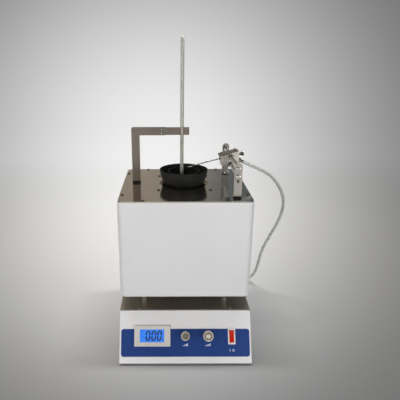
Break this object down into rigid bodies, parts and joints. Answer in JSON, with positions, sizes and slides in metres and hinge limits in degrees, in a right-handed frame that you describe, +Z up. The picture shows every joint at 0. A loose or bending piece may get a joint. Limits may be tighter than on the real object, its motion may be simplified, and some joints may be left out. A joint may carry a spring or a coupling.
{
  "type": "flash point tester",
  "caption": "Open-cup flash point tester: sloped control console, furnace box with nested crucibles, clipped thermometer and a sliding gas igniter.",
  "frame": {"origin": "on the bench, at the middle of the instrument's footprint without the hose", "axes": "+X to the right of someone facing the panel, +Y to the back, +Z up"},
  "size_m": [0.3695, 0.405, 0.618],
  "materials": {
    "white_enamel": "satin white powder coat",
    "brushed_steel": "brushed stainless sheet",
    "bracket_steel": "brushed stainless strip",
    "polished_steel": "polished round bar",
    "machined_aluminium": "satin machined aluminium",
    "zinc_screw": "bright plated screw",
    "black_rubber": "matt moulded rubber",
    "black_nylon": "matt nylon",
    "crucible_steel": "heat-blackened steel",
    "ceramic": "unglazed refractory ceramic",
    "heater_wire": "oxidised resistance wire",
    "lagging": "ceramic fibre",
    "glass": "clear laboratory glass",
    "scale_enamel": "milk-glass scale",
    "thermometer_liquid": "capillary",
    "label_blue": "printed polyester film",
    "bezel_plastic": "light grey moulded plastic",
    "display": "blue backlit display",
    "window": "clear acrylic",
    "knob_aluminium": "turned aluminium",
    "switch_white": "moulded nylon",
    "switch_red": "translucent red rocker",
    "brass": "turned brass",
    "black_plastic": "moulded black plastic",
    "electronics": "circuit board and its parts",
    "silicone": "translucent silicone rubber"
  },
  "bodies": {
    "root": {"base_housing": "white_enamel", "base_bottom_cover": "white_enamel", "base_feet": "black_rubber", "foot_screws": "zinc_screw", "base_top_plate": "brushed_steel", "base_plate_screws": "zinc_screw", "support_pillars": "zinc_screw", "pillar_nuts": "zinc_screw", "lead_conduit": "zinc_screw", "furnace_housing": "white_enamel", "furnace_bottom_plate": "white_enamel", "furnace_top_plate": "brushed_steel", "top_plate_screws": "zinc_screw", "heater_screws": "zinc_screw", "furnace_liner": "brushed_steel", "heater_pot": "ceramic", "heater_coil": "heater_wire", "heater_lagging": "lagging", "thermometer_bracket": "bracket_steel", "bracket_gasket": "black_rubber", "clip_front_jaw": "bracket_steel", "clip_rear_jaw": "bracket_steel", "clip_rivets": "zinc_screw", "front_post": "brushed_steel", "rear_post": "brushed_steel", "front_post_gasket": "black_rubber", "rear_post_washer": "black_rubber", "foot_plate_screws": "zinc_screw", "foot_plate_nuts": "zinc_screw", "upper_guide_rod": "polished_steel", "lower_guide_rod": "polished_steel", "rod_screws": "zinc_screw", "gas_hose": "silicone", "gas_fittings": "brass", "panel_label": "label_blue", "meter_bezel": "bezel_plastic", "meter_case": "display", "meter_window": "window", "panel_controls": "brass", "power_switch": "switch_white", "rear_connectors": "black_plastic", "electronics": "electronics"},
    "igniter_carriage": {"igniter_block": "machined_aluminium", "igniter_cover": "machined_aluminium", "cover_screws": "zinc_screw", "rod_bush": "black_nylon", "guide_shoe": "black_nylon", "nozzle_tube": "polished_steel", "nozzle_ferrule": "zinc_screw", "hose_barb": "brass"},
    "needle_valve": {"needle_knob": "knob_aluminium"},
    "thermometer": {"thermometer_tube": "glass", "thermometer_cap": "glass", "thermometer_scale": "scale_enamel", "thermometer_capillary": "thermometer_liquid"},
    "outer_pot": {"outer_crucible": "crucible_steel"},
    "inner_pot": {"inner_crucible": "crucible_steel"},
    "voltage_control": {"voltage_knob": "knob_aluminium"},
    "gas_control": {"gas_knob": "knob_aluminium"},
    "rocker": {"switch_rocker": "switch_red"}
  },
  "joints": [
    {"name": "igniter_slide", "type": "slide", "parent": "root", "child": "igniter_carriage", "axis": [0, 1, 0], "range_m": [-0.094, 0.062], "deforming": ["gas_hose"]},
    {"name": "needle_knob_turn", "type": "hinge", "parent": "igniter_carriage", "child": "needle_valve", "pos_m": [0.115, 0.0235, 0.3836], "axis": [0.9659, 0, 0.2588], "range_deg": [0, 720]},
    {"name": "thermometer_lift", "type": "slide", "parent": "root", "child": "thermometer", "axis": [0, 0, 1], "range_m": [0, 0.1]},
    {"name": "outer_pot_lift", "type": "slide", "parent": "root", "child": "outer_pot", "axis": [0, 0, 1], "range_m": [0, 0.004]},
    {"name": "inner_pot_lift", "type": "slide", "parent": "outer_pot", "child": "inner_pot", "axis": [0, 0, 1], "range_m": [0, 0.0035]},
    {"name": "voltage_knob_turn", "type": "hinge", "parent": "root", "child": "voltage_control", "pos_m": [0, -0.14073, 0.05149], "axis": [0, 0.8746, -0.4848], "range_deg": [0, 300]},
    {"name": "gas_knob_turn", "type": "hinge", "parent": "root", "child": "gas_control", "pos_m": [0.0452, -0.14073, 0.05149], "axis": [0, 0.8746, -0.4848], "range_deg": [-540, 0]},
    {"name": "power_rocker", "type": "hinge", "parent": "root", "child": "rocker", "pos_m": [0.0925, -0.14176, 0.05046], "axis": [1, 0, 0], "range_deg": [-10, 0]}
  ]
}
